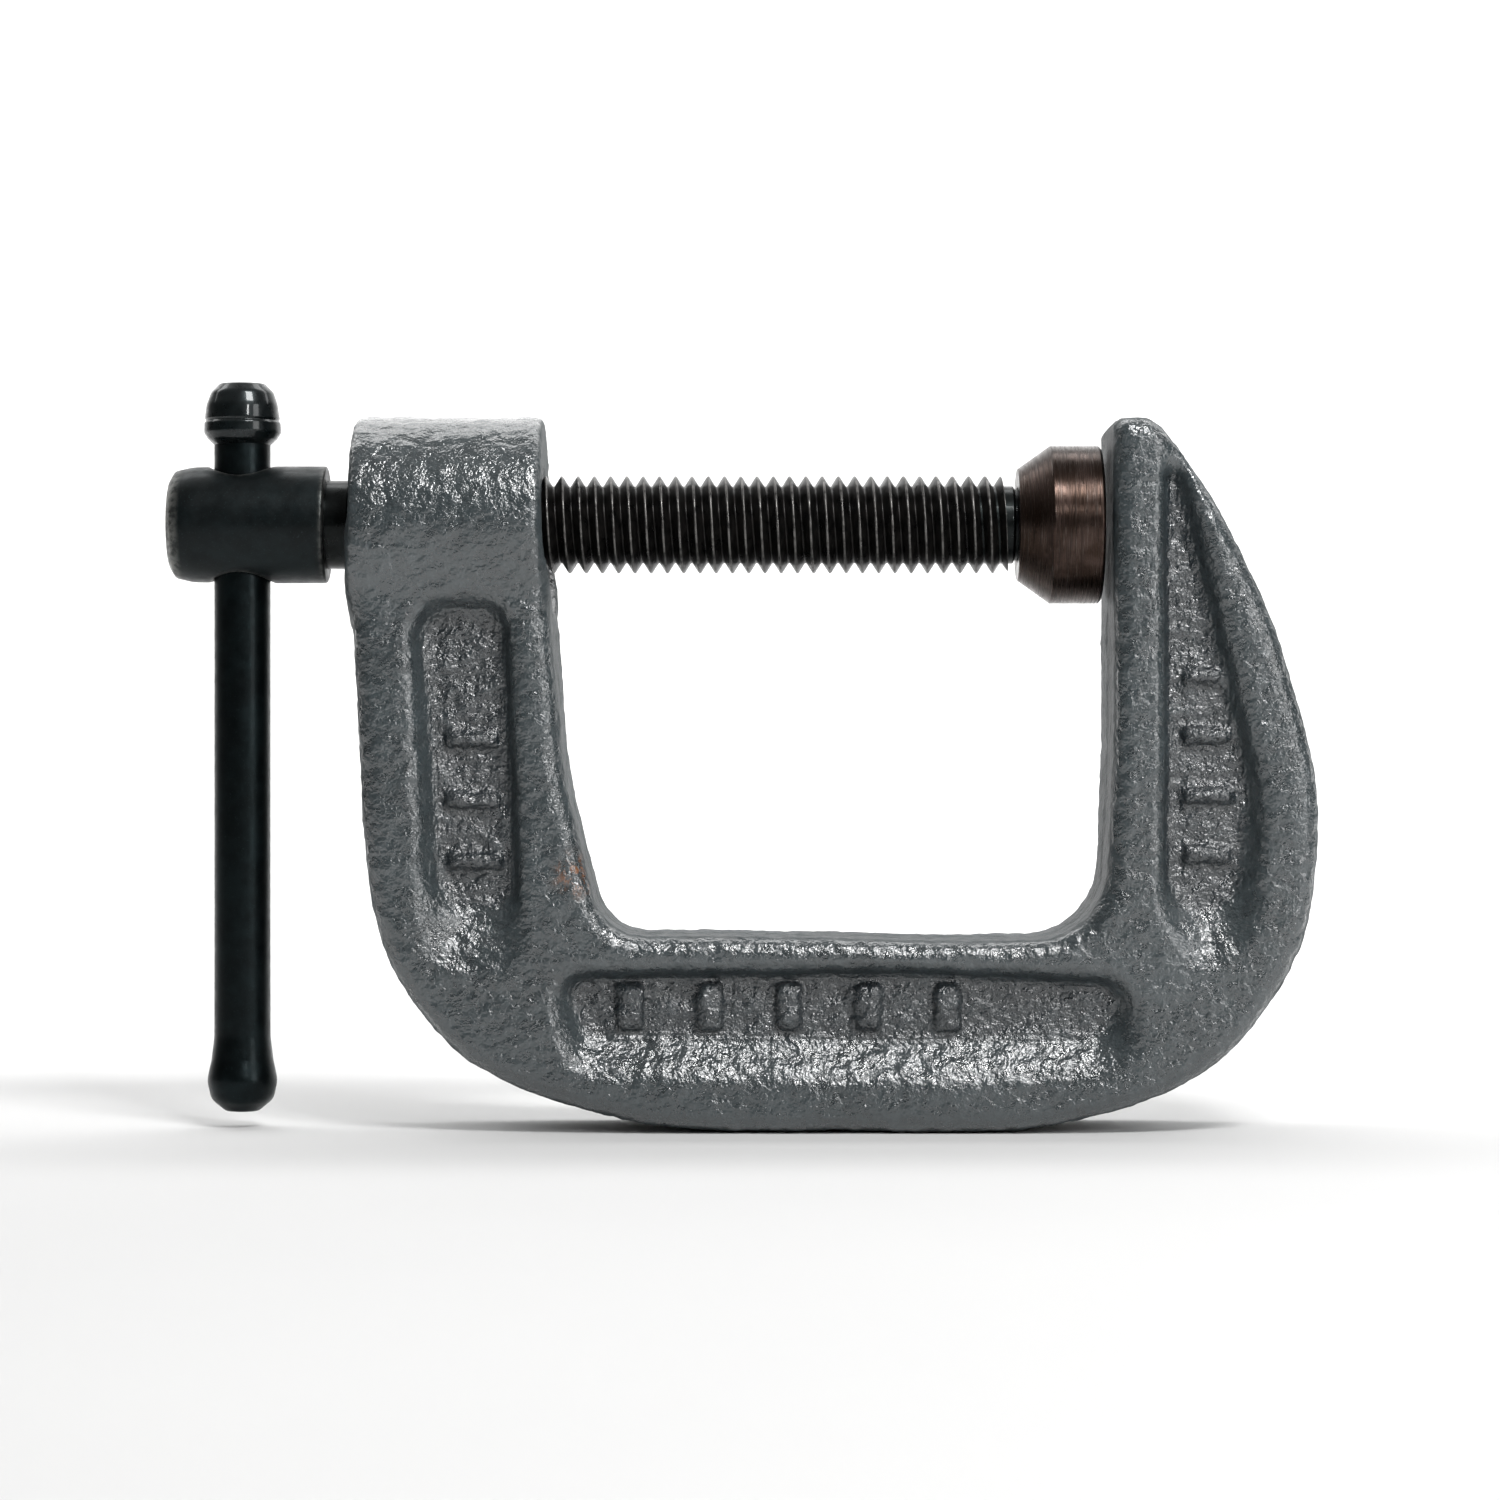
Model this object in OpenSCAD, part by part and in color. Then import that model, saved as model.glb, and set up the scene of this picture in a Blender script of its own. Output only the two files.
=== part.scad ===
// C clamp with a sliding tommy bar.
// Millimetres, +Z up. The origin is the centre of the fixed jaw face, on the screw axis.
// +X runs along the screw from its head towards the fixed jaw. Y is the depth.

/* [Opening] */
// Fixed jaw face to the inner end of the screw boss
span = 34.6; // [24:0.1:80]
// Screw axis to the top of the spine
throat = 25.1; // [16:0.1:60]
// Gap between the pad and the fixed jaw as drawn
jaw_gap = 0.43; // [0.3:0.01:20]

/* [Frame] */
// Thickness of the casting, side to side
frame_t = 11.2; // [8:0.1:24]
// Height of the spine under the opening
spine_h = 11.9; // [8:0.1:24]
// Greatest width of the jaw leg
jaw_leg_w = 12.7; // [9:0.1:30]
// Top of the fixed jaw above the screw axis
jaw_top = 6.3; // [4:0.1:12]
// Width of the flat top of the fixed jaw
jaw_top_w = 2.5; // [2:0.1:8]
// Radius of the two bends between the legs and the spine, outside
bend_r = 14; // [8:0.5:24]
// Height of the outer bends above the underside
bend_h = 11.6; // [8:0.1:24]
// Radius of the inner corner at the screw leg
corner_r = 3.2; // [2:0.1:8]
// Radius of the inner corner at the jaw leg
jaw_corner_r = 4.5; // [2:0.1:8]
// How far the screw leg's inner side leans out by its foot
foot_flare = 3.8; // [0:0.1:8]

/* [Screw boss] */
// Length of the boss
boss_len = 11.6; // [8:0.1:24]
// Outer diameter of the boss
boss_d = 13.2; // [10:0.1:30]
// Rounding of the boss ends
boss_edge_r = 0.9; // [0.3:0.1:2]
// Width of the chamfer at each mouth of the threaded hole
mouth_chamfer = 0.5; // [0.2:0.1:1.5]

/* [Flank pockets] */
// Depth of the pockets in each flank
pocket_depth = 1.4; // [0.8:0.1:3]
// Height of the plain raised marks on the pocket floors
mark_h = 0.35; // [0.2:0.05:0.8]

/* [Thread] */
// Nominal diameter
thread_d = 6.0; // [4:0.1:12]
// Pitch, which is the travel for each turn
pitch = 1.0; // [0.7:0.05:2]
// Depth of the screw's thread
thread_h = 0.62; // [0.4:0.01:1.2]
// Radial play between the screw and the threaded hole
thread_play = 0.1; // [0.05:0.01:0.2]

/* [Screw] */
// Diameter of the plain neck between the head and the thread
neck_d = 5.45; // [4:0.05:12]
// Length of the neck that shows between the head and the boss
neck_gap = 1.75; // [0.5:0.05:6]
// Diameter of the head
head_d = 7.2; // [6:0.1:16]
// Length of the head
head_len = 9.65; // [7:0.05:20]
// Inner end of the head to the centre of its cross hole
cross_in = 5.25; // [3:0.05:12]
// Radius of the spigot that the pad turns on
tip_r = 2.2; // [1.6:0.05:5]

/* [Tommy bar] */
// Diameter of the bar
bar_d = 3.45; // [2:0.05:8]
// Radial play between the bar and its cross hole
bar_play = 0.1; // [0.05:0.01:0.2]
// Lower end of the bar below the screw axis, as drawn
bar_below = 36.05; // [20:0.05:80]
// Upper end of the bar above the screw axis, as drawn
bar_above = 8.7; // [6:0.05:60]
// Greatest diameter of the headed lower end
foot_d = 4.35; // [3:0.05:12]
// Length of the headed lower end
foot_len = 4.25; // [2:0.05:10]
// Greatest diameter of the pressed-on knob
knob_d = 4.7; // [3:0.05:12]
// Length of the knob
knob_len = 3.8; // [2:0.05:10]

/* [Swivel pad] */
// Diameter of the pad
pad_d = 9.7; // [7:0.1:24]
// Length of the pad along the screw
pad_len = 5.12; // [4.2:0.01:12]
// Diameter of the small end of the pad's cone
cone_d = 6.85; // [6:0.05:16]
// Length of the cone
cone_len = 2.0; // [1:0.05:6]
// Thickness of the pad's face over the screw tip
pad_wall = 1.3; // [0.8:0.05:3]
// Play around the spigot inside the pad
pad_play = 0.15; // [0.1:0.01:0.3]
// Wire diameter of the snap ring
ring_wire = 0.6; // [0.4:0.05:1.5]
// Back of the pad to the centre of the snap ring
ring_in = 1.3; // [0.9:0.05:4]

/* [Show] */
// Sub-part to draw

/* [Hidden] */
$fn = 72;
over = 1;

half_t = frame_t / 2;
boss_in = -span;
boss_out = -span - boss_len;
underside = -throat - spine_h;

crest_r = thread_d / 2;
root_r = crest_r - thread_h;
arc_steps = 5;

pad_front = -jaw_gap;
pad_back = pad_front - pad_len;
ring_x = pad_back + ring_in;
bore_r = tip_r + pad_play;
bore_floor = pad_front - pad_wall;
tip_gap = 0.08;
tip_end = bore_floor - tip_gap;
ring_r = tip_r + ring_wire / 15;
groove_play = 0.15;
tip_collar = pad_back - 0.25;

head_in = boss_out - neck_gap;
head_out = head_in - head_len;
bar_x = head_in - cross_in;
foot_top = foot_len - bar_below;
knob_foot = bar_above - knob_len;
knob_socket_r = bar_d / 2 - 0.3;
knob_socket_len = knob_len - 1.2;

function unit(v) = v / norm(v);

// The arc at a corner q between the corners p and s, each given as [x, z, radius].
function corner(p, q, s) =
    let (
        at = [q[0], q[1]],
        u = unit([p[0], p[1]] - at),
        w = unit([s[0], s[1]] - at),
        half = acos(u * w) / 2,
        c = at + unit(u + w) * q[2] / sin(half),
        from = at + u * q[2] / tan(half) - c,
        to = at + w * q[2] / tan(half) - c,
        a = atan2(from[1], from[0]),
        turn = (atan2(to[1], to[0]) - a + 540) % 360 - 180
    )
    [for (i = [0:arc_steps]) let (t = a + turn * i / arc_steps) c + q[2] * [cos(t), sin(t)]];

// A closed outline with a rounding at each corner.
function outline(corners) =
    let (m = len(corners))
    [for (i = [0:m - 1]) each corner(corners[(i + m - 1) % m], corners[i], corners[(i + 1) % m])];

// The frame's side view: down the screw leg, along the underside, up the jaw leg and back inside.
frame_corners = [
    [boss_out - 0.1, 0, 1.4],
    [boss_out + 0.8, -0.72 * throat, 30],
    [boss_out + 1.6, underside + bend_h + 0.2, bend_r],
    [boss_out + 6.2, underside + 3.8, bend_r],
    [boss_out + 18.2, underside + 0.2, 30],
    [jaw_leg_w - 16.7, underside, 30],
    [jaw_leg_w - 6.1, underside + 3.4, bend_r],
    [jaw_leg_w - 0.9, underside + bend_h - 0.2, bend_r],
    [jaw_leg_w, -0.645 * throat, 24],
    [jaw_leg_w - 4.4, -1.6, 40],
    [jaw_top_w, jaw_top, 2.4],
    [0, jaw_top, 1.0],
    [0, -0.56 * throat, 60],
    [-0.6, -throat - 0.25, jaw_corner_r],
    [-10, -throat - 0.25, 60],
    [boss_in + 10.6, -throat, 60],
    [boss_in + foot_flare, -throat, corner_r],
    [boss_in + foot_flare - 2.4, -0.62 * throat, 22],
    [boss_in + 0.05, 0, 1.4]
];

// The hollows in the flanks: screw leg, spine and jaw leg.
leg_pocket = [
    [boss_out + 3.7, -boss_d / 2 + 1.2, 2.4],
    [boss_out + 4.9, -throat - 1.2, 3.2],
    [boss_in - 1.1, -throat - 0.4, 2.4],
    [boss_in - 1.4, -boss_d / 2 + 1.2, 2.4]
];
spine_pocket_r = 0.4 * (spine_h - 6.2);
spine_pocket = [
    [boss_out + 11.9, -throat - 2.0, spine_pocket_r],
    [boss_out + 13.2, underside + 3.6, spine_pocket_r],
    [-12, underside + 3.2, 60],
    [0.8, underside + 3.9, spine_pocket_r],
    [1.9, -throat - 2.3, spine_pocket_r],
    [-12, -throat - 1.9, 60]
];
jaw_pocket = [
    [2.9, 3.2, 0.6],
    [3.0, -throat + 3.0, 1.4],
    [0.41 * jaw_leg_w, -throat - 0.9, 0.14 * jaw_leg_w],
    [0.66 * jaw_leg_w, -throat + 1.6, 0.23 * jaw_leg_w],
    [0.7 * jaw_leg_w, -0.645 * throat, 20],
    [0.45 * jaw_leg_w, -2.6, 30],
    [4.1, 2.6, 0.6]
];

// A flat prism about the middle plane.
module plate(corners, half) {
    rotate([90, 0, 0]) linear_extrude(2 * half, center = true)
        polygon(outline(corners));
}

// A hollow cut into both flanks.
module pocket(corners) {
    cut_half = (pocket_depth + over) / 2;
    for (side = [-1, 1])
        translate([0, side * (half_t + over - cut_half), 0]) plate(corners, cut_half);
}

// A turned solid about X from [x, r] points.
module turned(points) {
    rotate([0, 90, 0]) rotate_extrude() polygon([for (p = points) [p[1], p[0]]]);
}

// The cutter of the threaded hole, at its greatest diameter, with a chamfer at each mouth.
module tapped_hole() {
    hole_r = crest_r + thread_play;
    mouth = hole_r + mouth_chamfer;
    turned([
        [boss_out - over, 0],
        [boss_out - over, mouth],
        [boss_out, mouth],
        [boss_out + mouth_chamfer, hole_r],
        [boss_in - mouth_chamfer, hole_r],
        [boss_in, mouth],
        [boss_in + over, mouth],
        [boss_in + over, 0]
    ]);
}

// Plain raised bars and studs of the casting, on both pocket floors.
module marks() {
    floor_y = half_t - pocket_depth;
    for (side = [-1, 1]) {
        for (i = [0:2]) {
            translate([boss_out + 7.4 + 0.28 * i, side * floor_y, -10 - 4.4 * i])
                rotate([90, 0, 0]) cylinder(h = 2 * mark_h, r = 0.8, center = true);
        }
        for (i = [0:4]) {
            translate([boss_out + 17 + 4.8 * i, side * floor_y, underside + 6.5])
                cube([1.4, 2 * mark_h, 3.0], center = true);
        }
        for (i = [0:3]) {
            translate([5.6, side * floor_y, -10 - 3.2 * i])
                rotate([90, 0, 0]) cylinder(h = 2 * mark_h, r = 0.7, center = true);
        }
    }
}

// The casting: a C with a threaded boss at one end and the fixed jaw at the other.
module frame() {
    r = boss_d / 2;
    e = boss_edge_r;
    color("#4b4f52") {
        difference() {
            union() {
                plate(frame_corners, half_t);
                turned(concat(
                    [[boss_out, 0]],
                    [for (t = [0:30:90]) [boss_out + e - e * cos(t), r - e + e * sin(t)]],
                    [for (t = [90:-30:0]) [boss_in - e + e * cos(t), r - e + e * sin(t)]],
                    [[boss_in, 0]]
                ));
            }
            tapped_hole();
            pocket(leg_pocket);
            pocket(spine_pocket);
            pocket(jaw_pocket);
        }
        marks();
    }
}

// The screw: cross-drilled head, neck, thread and grooved spigot in one piece.
// The thread is drawn as rings of the real pitch and depth, without its lead.
module screw() {
    collar_r = root_r + 0.02;
    groove_half = ring_wire / 2 + groove_play;
    groove_r = ring_r - ring_wire / 2 - groove_play;
    dome_r = tip_end - ring_x;
    dome_from = asin(min(tip_r, 0.92 * dome_r) / dome_r);
    h = head_d / 2;
    thread_from = boss_out - 0.35 + 0.5 * pitch;
    turns = floor((tip_collar - pitch - thread_from) / pitch);
    color("#26292b") difference() {
        turned(concat(
            [
                [head_out, 0],
                [head_out, h - 1.25],
                [head_out + 0.5, h - 0.65],
                [head_out + 2.3, h - 0.15],
                [head_out + 4.5, h],
                [head_in - 0.15, h],
                [head_in, h - 0.15],
                [head_in, neck_d / 2],
                [boss_out - 0.35, neck_d / 2]
            ],
            [for (i = [0:turns]) each let (x = thread_from + i * pitch) [
                [x - 0.07, crest_r],
                [x + 0.07, crest_r],
                [x + 0.5 * pitch, root_r]
            ]],
            [
                [thread_from + (turns + 0.5) * pitch + 0.05, collar_r],
                [tip_collar - 0.2, collar_r],
                [tip_collar, tip_r],
                [ring_x - groove_half, tip_r],
                [ring_x - groove_half, groove_r],
                [ring_x + groove_half, groove_r],
                [ring_x + groove_half, tip_r]
            ],
            [for (t = [dome_from:-dome_from / 4:dome_from / 8])
                [ring_x + dome_r * cos(t), dome_r * sin(t)]],
            [[tip_end, 0]]
        ));
        translate([bar_x, 0, 0]) cylinder(h = 2 * head_d, r = bar_d / 2 + bar_play, center = true);
    }
}

// The tommy bar, with its lower end headed and its upper end turned down for the knob.
module handle_bar() {
    b = bar_d / 2;
    f = foot_d / 2;
    color("#2d3235") translate([bar_x, 0, 0]) rotate_extrude() polygon([
        [0, -bar_below],
        [f - 1.45, -bar_below],
        [f - 0.75, -bar_below + 0.35],
        [f - 0.2, -bar_below + 0.95],
        [f, -bar_below + 1.6],
        [f - 0.1, -bar_below + 2.3],
        [b + 0.08, foot_top - 0.9],
        [b, foot_top],
        [b, knob_foot],
        [knob_socket_r, knob_foot],
        [knob_socket_r, knob_foot + knob_socket_len],
        [0, knob_foot + knob_socket_len]
    ]);
}

// The knob pressed on after the bar has gone through the head.
module handle_knob() {
    k = knob_d / 2;
    color("#33383b") translate([bar_x, 0, 0]) rotate_extrude() polygon([
        [knob_socket_r, knob_foot],
        [bar_d / 2, knob_foot],
        [k - 0.15, knob_foot + 0.5],
        [k, knob_foot + 0.8],
        [k - 0.12, knob_foot + 1.3],
        [k - 0.25, knob_foot + 1.42],
        [k - 0.12, knob_foot + 1.55],
        [k - 0.15, knob_foot + 2.6],
        [k - 0.35, bar_above - 0.45],
        [k - 0.85, bar_above],
        [0, bar_above],
        [0, knob_foot + knob_socket_len],
        [knob_socket_r, knob_foot + knob_socket_len]
    ]);
}

// The pad that bears on the work.
module swivel_pad() {
    groove_half = ring_wire / 2 + 0.2;
    groove_r = ring_r + ring_wire / 2 + 0.16;
    color("#3a3632") turned([
        [bore_floor, 0],
        [bore_floor, bore_r],
        [ring_x + groove_half, bore_r],
        [ring_x + groove_half, groove_r],
        [ring_x - groove_half, groove_r],
        [ring_x - groove_half, bore_r],
        [pad_back, bore_r],
        [pad_back, cone_d / 2],
        [pad_back + cone_len, pad_d / 2],
        [pad_front - 0.2, pad_d / 2],
        [pad_front, pad_d / 2 - 0.2],
        [pad_front, 0]
    ]);
}

// The wire ring that holds the pad on the spigot and stays still while the screw turns in it.
module pad_snap_ring() {
    color("#8b8f92") translate([ring_x, 0, 0]) rotate([0, 90, 0])
        rotate_extrude() translate([ring_r, 0]) circle(r = ring_wire / 2, $fn = 24);
}

frame();
screw();
handle_bar();
handle_knob();
swivel_pad();
pad_snap_ring();
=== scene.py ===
"""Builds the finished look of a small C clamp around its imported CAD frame."""

import math

import bpy
import numpy as np
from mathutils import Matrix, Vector, noise


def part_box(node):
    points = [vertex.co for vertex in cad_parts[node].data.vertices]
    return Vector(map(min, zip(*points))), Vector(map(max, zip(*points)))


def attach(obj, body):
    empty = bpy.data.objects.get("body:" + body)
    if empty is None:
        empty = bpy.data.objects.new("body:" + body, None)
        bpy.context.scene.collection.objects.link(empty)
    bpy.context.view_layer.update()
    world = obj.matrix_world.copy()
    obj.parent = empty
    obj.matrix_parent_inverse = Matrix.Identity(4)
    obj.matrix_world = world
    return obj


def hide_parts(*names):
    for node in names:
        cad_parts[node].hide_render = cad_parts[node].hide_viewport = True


bl_info = {
    "name": "C clamp",
    "version": (1, 0, 0),
    "blender": (4, 5, 0),
    "location": "3D View > Sidebar > C clamp",
    "description": "Builds a cast C clamp with its screw, tommy bar and swivel pad",
    "category": "Add Mesh",
}

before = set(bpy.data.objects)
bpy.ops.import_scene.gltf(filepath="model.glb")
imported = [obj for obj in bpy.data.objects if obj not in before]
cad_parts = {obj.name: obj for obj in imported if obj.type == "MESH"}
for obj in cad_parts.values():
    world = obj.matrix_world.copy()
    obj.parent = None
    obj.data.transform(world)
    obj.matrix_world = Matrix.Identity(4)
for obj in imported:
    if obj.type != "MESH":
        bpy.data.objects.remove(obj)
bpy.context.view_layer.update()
MM = 0.001


def mm_box(node):
    """The lowest and highest corners of a CAD node, in millimetres."""
    low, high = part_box(node)
    return np.array(low) / MM, np.array(high) / MM


FRAME_LOW, FRAME_HIGH = mm_box("frame")
SCREW_LOW, SCREW_HIGH = mm_box("screw")
BAR_LOW, BAR_HIGH = mm_box("handle_bar")
KNOB_LOW, KNOB_HIGH = mm_box("handle_knob")
PAD_LOW, PAD_HIGH = mm_box("swivel_pad")
RING_LOW, RING_HIGH = mm_box("pad_snap_ring")

SCREW_RADIUS = 3.0
BAR_X = (BAR_LOW[0] + BAR_HIGH[0]) / 2
BAR_RADIUS = 1.725
BOSS_OUT = -46.2
BOSS_IN = -34.6
BOSS_RADIUS = 6.6


# ---------------------------------------------------------------- shapes


def unit(v):
    """A vector of length one."""
    return v / np.linalg.norm(v)


def rounded(corners, steps=6, closed=True):
    """Points along a chain of [a, b, radius] corners, each one turned into an arc."""
    chain, points = np.array(corners, float), []
    count = len(chain)
    for i, (a, b, r) in enumerate(chain):
        q = np.array([a, b])
        if r <= 0 or (not closed and i in (0, count - 1)):
            points.append(q)
            continue
        u = unit(chain[i - 1][:2] - q)
        w = unit(chain[(i + 1) % count][:2] - q)
        half = math.acos(np.clip(u @ w, -1, 1)) / 2
        centre = q + unit(u + w) * r / math.sin(half)
        start, end = q + u * r / math.tan(half) - centre, q + w * r / math.tan(half) - centre
        a0 = math.atan2(start[1], start[0])
        turn = (math.atan2(end[1], end[0]) - a0 + math.pi) % (2 * math.pi) - math.pi
        for t in np.linspace(a0, a0 + turn, steps + 1):
            points.append(centre + r * np.array([math.cos(t), math.sin(t)]))
    return np.array(points)


def polygon_distance(points, x, y):
    """Signed distance to a closed polygon, below zero inside it."""
    best = np.full(x.shape, 1e9)
    inside = np.zeros(x.shape, bool)
    for (ax, ay), (bx, by) in zip(points, np.roll(points, -1, 0)):
        ex, ey = bx - ax, by - ay
        length = ex * ex + ey * ey
        if length < 1e-12:
            continue
        t = np.clip(((x - ax) * ex + (y - ay) * ey) / length, 0, 1)
        best = np.minimum(best, (x - ax - t * ex) ** 2 + (y - ay - t * ey) ** 2)
        crosses = (ay > y) != (by > y)
        inside ^= crosses & (x < ax + (y - ay) * ex / (ey if abs(ey) > 1e-12 else 1e-12))
    return np.where(inside, -1, 1) * np.sqrt(best)


def soft_min(a, b, k):
    """The smaller of two fields, blended over the width k where they meet."""
    h = np.maximum(k - np.abs(a - b), 0) / k
    return np.minimum(a, b) - h * h * k / 4


def soft_max(a, b, k):
    """The larger of two fields, blended over the width k where they meet."""
    return -soft_min(-a, -b, k)


def edge_distance(a, b, radius):
    """Distance to the corner of two faces, each given by its distance plus the corner's radius."""
    outer = np.sqrt(np.maximum(a, 0) ** 2 + np.maximum(b, 0) ** 2)
    return outer + np.minimum(np.maximum(a, b), 0) - radius


def smooth(t):
    """A soft step from 0 to 1."""
    t = np.clip(t, 0, 1)
    return t * t * (3 - 2 * t)


def grid(low, high, step):
    """Coordinates of a grid of points, with a margin of two steps."""
    axes = [np.arange(a - 2 * step, b + 3 * step, step) for a, b in zip(low, high)]
    return axes, np.meshgrid(*axes, indexing="ij", sparse=True)


def sample(field, at):
    """A field's values at fractional grid places."""
    limit = np.array(field.shape) - 2
    base = np.clip(np.floor(at).astype(int), 0, limit)
    f = at - base
    total = 0
    for dx in (0, 1):
        for dy in (0, 1):
            for dz in (0, 1):
                share = 1
                for n, d in enumerate((dx, dy, dz)):
                    share = share * (f[:, n] if d else 1 - f[:, n])
                total = total + share * field[base[:, 0] + dx, base[:, 1] + dy, base[:, 2] + dz]
    return total


def skin(field, axes):
    """The zero surface of a distance field as (points, quads, outward normals)."""
    shape = np.array(field.shape)
    cells = shape - 1
    inside = field < 0
    total = np.zeros((cells.prod(), 3))
    hits = np.zeros(cells.prod(), int)
    faces = []
    for axis in range(3):
        ahead = [slice(None)] * 3
        here = [slice(None)] * 3
        ahead[axis], here[axis] = slice(1, None), slice(0, -1)
        change = inside[tuple(here)] != inside[tuple(ahead)]
        places = np.argwhere(change)
        others = [n for n in range(3) if n != axis]
        keep = np.all((places[:, others] > 0) & (places[:, others] < cells[others]), axis=1)
        places = places[keep]
        a = field[tuple(places.T)]
        step = np.eye(3, dtype=int)[axis]
        b = field[tuple((places + step).T)]
        cross = places + step * (a / (a - b))[:, None]
        ring = []
        for du, dv in ((1, 1), (0, 1), (0, 0), (1, 0)):
            cell = places.copy()
            cell[:, others[0]] -= du
            cell[:, others[1]] -= dv
            flat = np.ravel_multi_index(cell.T, cells)
            np.add.at(total, flat, cross)
            np.add.at(hits, flat, 1)
            ring.append(flat)
        quad = np.stack(ring, 1)
        flip = (a < 0) == (axis == 1)
        quad[flip] = quad[flip][:, ::-1]
        faces.append(quad)
    used = np.flatnonzero(hits)
    number = np.full(cells.prod(), -1)
    number[used] = np.arange(len(used))
    at = total[used] / hits[used][:, None]
    slopes = np.gradient(field)
    for _ in range(3):
        g = np.stack([sample(s, at) for s in slopes], 1)
        at = at - (sample(field, at) / np.maximum((g * g).sum(1), 1e-6))[:, None] * g
    g = np.stack([sample(s, at) for s in slopes], 1)
    normals = g / np.maximum(np.linalg.norm(g, axis=1), 1e-9)[:, None]
    low = np.array([a[0] for a in axes])
    step = axes[0][1] - axes[0][0]
    return low + at * step, number[np.concatenate(faces)], normals


def make_object(name, points, faces, values=None):
    """A smooth mesh object from points in millimetres, with named values at its points."""
    mesh = bpy.data.meshes.new(name)
    mesh.from_pydata((np.asarray(points, float) * MM).tolist(), [], [list(map(int, f)) for f in faces])
    mesh.polygons.foreach_set("use_smooth", [True] * len(mesh.polygons))
    for key, array in (values or {}).items():
        mesh.attributes.new(key, "FLOAT", "POINT").data.foreach_set("value", np.asarray(array, np.float32))
    mesh.validate()
    mesh.update()
    piece = bpy.data.objects.new(name, mesh)
    bpy.context.scene.collection.objects.link(piece)
    return piece


def held_profile(corners, steps=4):
    """A rounded profile with extra points beside its arcs, so flats stay flat when shaded smooth."""
    points = rounded(corners, steps, closed=False)
    out = [points[0]]
    for p, q in zip(points, points[1:]):
        length = np.linalg.norm(q - p)
        if length < 1e-6:
            continue
        if length > 0.35:
            out += [p + (q - p) * 0.06 / length, q - (q - p) * 0.06 / length]
        out.append(q)
    return np.array(out)


def turned(profile, along, centre=(0, 0, 0), around=96, wobble=None):
    """A turned piece from [along, radius] points, closed on its axis at both ends."""
    prof = np.array(profile, float)
    t = np.arange(around) * 2 * math.pi / around
    prof[:, 1] = np.maximum(prof[:, 1], 0)
    points = []
    for a, r in prof[1:-1]:
        radius = r if wobble is None else r * (1 + wobble(a, t))
        ring = np.zeros((around, 3))
        ring[:, along] = a
        ring[:, (along + 1) % 3] = radius * np.cos(t)
        ring[:, (along + 2) % 3] = radius * np.sin(t)
        points.append(ring)
    rings = len(points)
    ends = np.zeros((2, 3))
    ends[0, along], ends[1, along] = prof[0][0], prof[-1][0]
    points = np.concatenate(points + [ends]) + np.array(centre, float)
    faces = []
    for i in range(rings - 1):
        for j in range(around):
            k = (j + 1) % around
            faces.append((i * around + j, i * around + k, (i + 1) * around + k, (i + 1) * around + j))
    for j in range(around):
        k = (j + 1) % around
        faces.append((rings * around, k, j))
        faces.append((rings * around + 1, (rings - 1) * around + j, (rings - 1) * around + k))
    if prof[0][0] > prof[-1][0]:
        faces = [f[::-1] for f in faces]
    return points, faces


def turned_object(name, profile, along, centre=(0, 0, 0), around=96, wobble=None):
    """A turned piece as a mesh object."""
    points, faces = turned(profile, along, centre, around, wobble)
    return make_object(name, points, faces)


# ---------------------------------------------------------------- materials


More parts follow.
